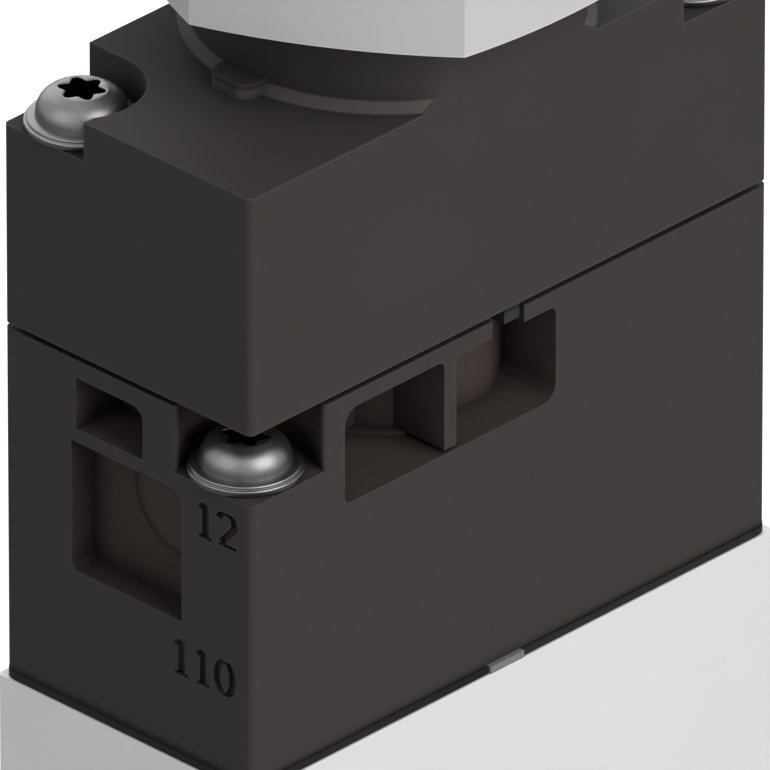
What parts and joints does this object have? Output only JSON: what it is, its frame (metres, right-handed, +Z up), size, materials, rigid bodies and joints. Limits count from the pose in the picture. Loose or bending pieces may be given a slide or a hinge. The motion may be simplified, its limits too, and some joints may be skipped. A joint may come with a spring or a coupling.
{
  "type": "pushbutton valve",
  "caption": "Upright pneumatic pushbutton valve: aluminium spool body, two dark moulded pilot and actuator housings, panel neck with hexagonal nut, mushroom button.",
  "frame": {"origin": "centre of the end cap's rest face, on the spool's axis", "axes": "+Z up the spool's axis to the button, X along the long side of the housings with the numbered face at -X, Y across the housings with the windowed long face at -Y"},
  "size_m": [0.0462, 0.0314, 0.1191],
  "materials": {
    "dark_polymer": "fine matt moulded texture, dark brown-grey",
    "light_polymer": "smooth light grey moulding",
    "body_aluminium": "fine blasted and anodised",
    "spool_aluminium": "turned and ground",
    "screw_steel": "zinc-plated, bright",
    "spring_steel": "drawn wire",
    "seat_brass": "turned",
    "seal_rubber": "matt nitrile rubber",
    "gasket_rubber": "flat grey gasket sheet",
    "button_polymer": "smooth dark moulding"
  },
  "bodies": {
    "valve": {"end_cap": "dark_polymer", "end_cap_seal": "seal_rubber", "end_cap_screws": "screw_steel", "valve_body": "body_aluminium", "return_spring": "spring_steel", "body_gasket": "gasket_rubber", "pilot_housing": "dark_polymer", "pilot_seat": "seat_brass", "seat_seal": "seal_rubber", "seat_retainer": "seat_brass", "poppet_spring": "spring_steel", "housing_gasket": "gasket_rubber", "actuator_housing": "dark_polymer", "plunger_seal": "seal_rubber", "button_spring": "spring_steel", "guide_bush": "spool_aluminium", "panel_nut": "light_polymer", "pilot_screws": "screw_steel", "actuator_screws": "screw_steel"},
    "button": {"push_button": "button_polymer", "plunger": "spool_aluminium"},
    "poppet": {"pilot_poppet": "seat_brass", "poppet_disc": "seal_rubber"},
    "spool": {"spool": "spool_aluminium", "spool_seal_1": "seal_rubber", "spool_seal_2": "seal_rubber", "spool_seal_3": "seal_rubber", "spool_seal_4": "seal_rubber", "pilot_piston": "dark_polymer", "piston_seal": "seal_rubber"}
  },
  "joints": [
    {"name": "button_press", "type": "slide", "parent": "valve", "child": "button", "axis": [0, 0, -1], "range_m": [0, 0.003], "stiffness_N_per_m": 900, "springref_m": -0.006, "deforming": ["button_spring"]},
    {"name": "poppet_slide", "type": "slide", "parent": "valve", "child": "poppet", "axis": [0, 0, -1], "range_m": [0, 0.003], "stiffness_N_per_m": 300, "springref_m": -0.003, "deforming": ["poppet_spring"]},
    {"name": "spool_slide", "type": "slide", "parent": "valve", "child": "spool", "axis": [0, 0, -1], "range_m": [0, 0.0032], "stiffness_N_per_m": 2000, "springref_m": -0.004, "deforming": ["return_spring"]}
  ],
  "couplings": [
    {"joint": "poppet_slide", "follows": "button_press", "ratio": 1}
  ]
}
